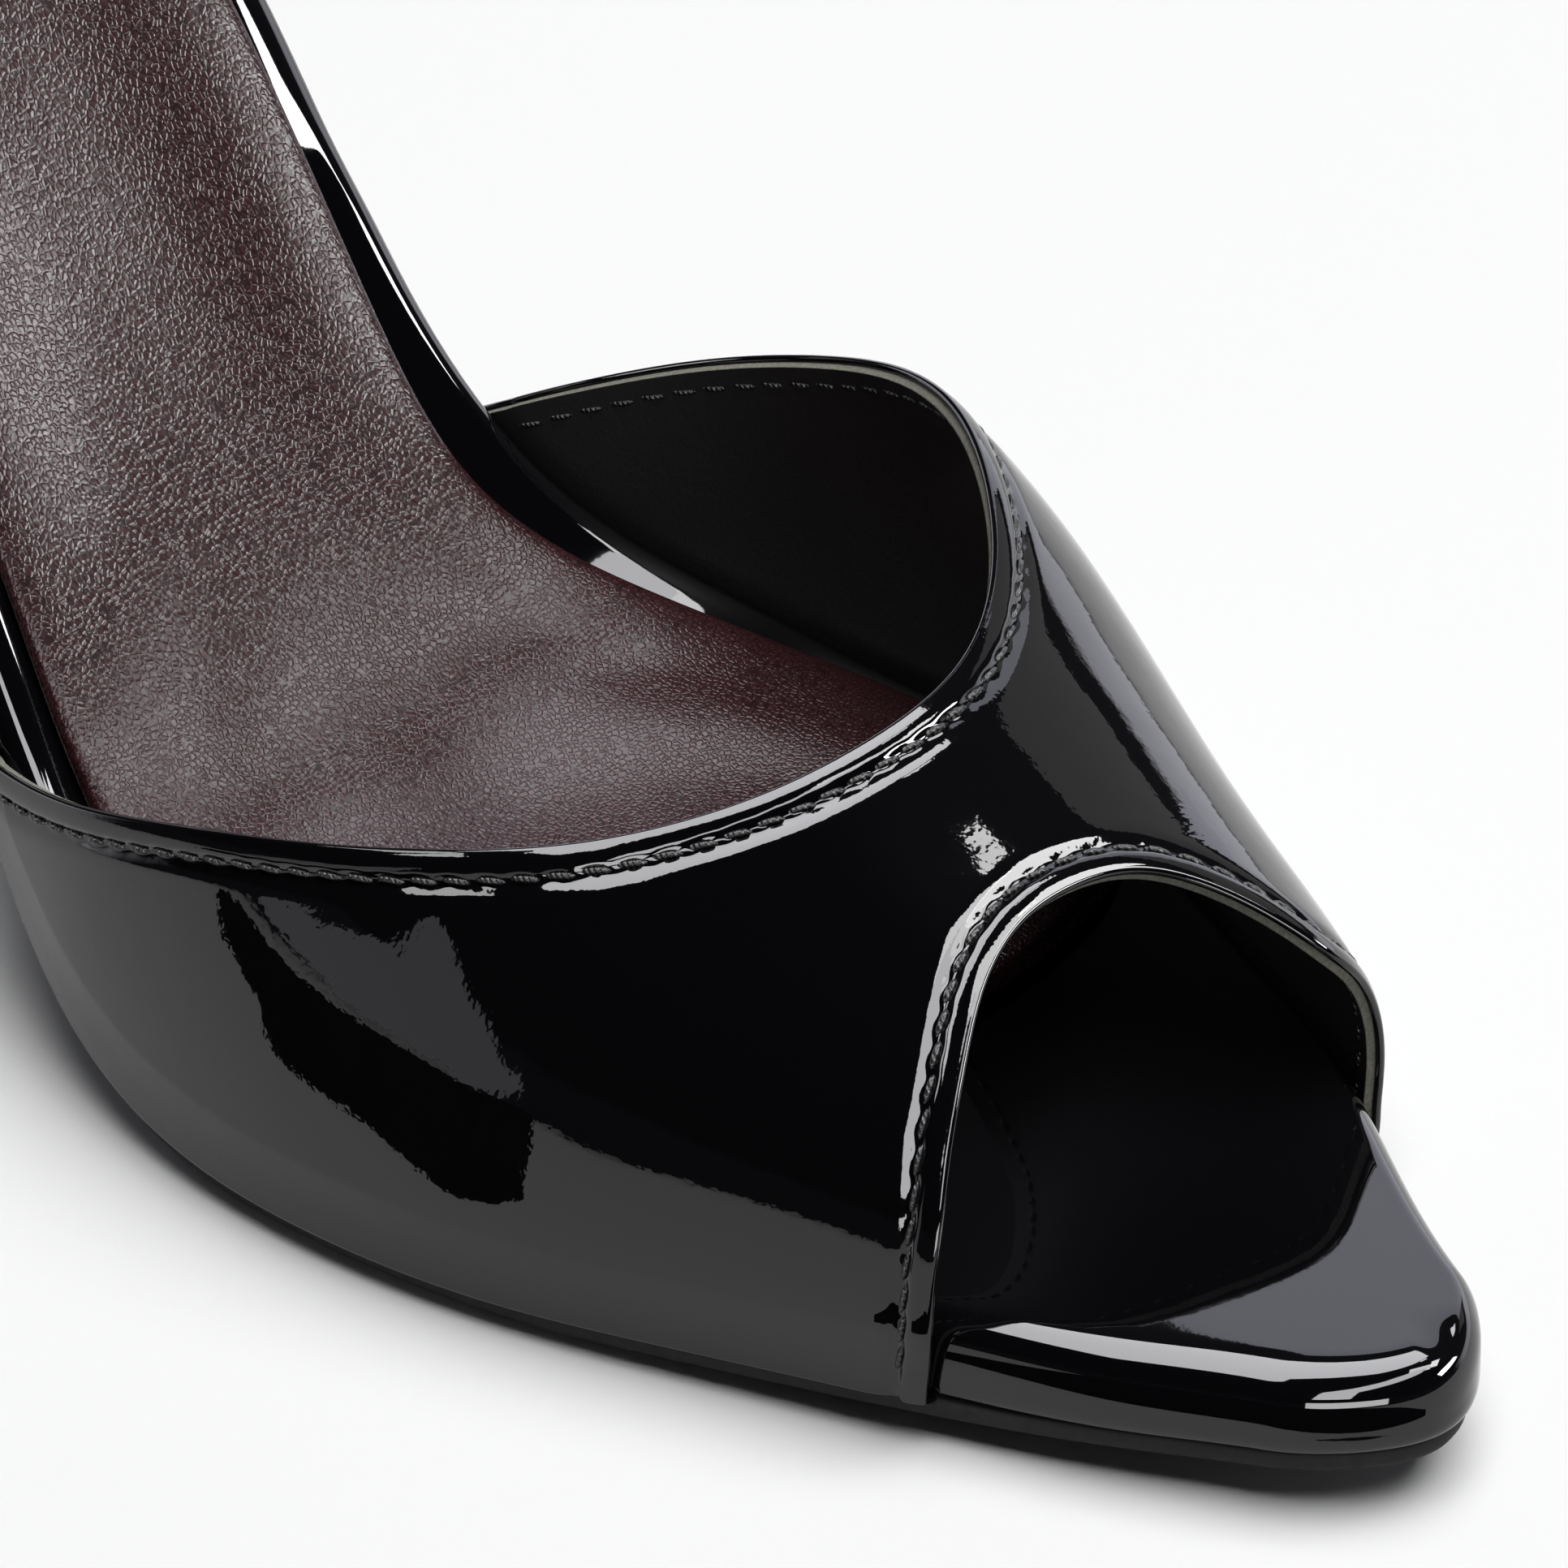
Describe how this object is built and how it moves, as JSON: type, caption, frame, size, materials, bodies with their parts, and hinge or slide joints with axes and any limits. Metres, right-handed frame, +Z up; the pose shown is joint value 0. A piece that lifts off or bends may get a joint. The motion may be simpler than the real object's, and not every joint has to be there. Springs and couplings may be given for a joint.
{
  "type": "heeled sandal",
  "caption": "Right peep-toe heeled mule: glossy vamp band over a rolled-edge footbed with a padded sock, thin sole and slim high heel.",
  "frame": {"origin": "middle of the shoe's bounding box, on the floor it stands on", "axes": "+X from the heel to the toe, +Y to the medial side (the wearer's left), +Z up"},
  "size_m": [0.227, 0.0788, 0.0999],
  "materials": {
    "outsole": "matte",
    "insole": "patent gloss",
    "sock": "grained satin",
    "upper": "patent gloss",
    "heel": "patent gloss",
    "heel_tip": "matte"
  },
  "bodies": {
    "root": {"outsole": "outsole", "insole": "insole", "sock": "sock", "upper": "upper", "heel": "heel", "heel_tip": "heel_tip"}
  },
  "joints": []
}
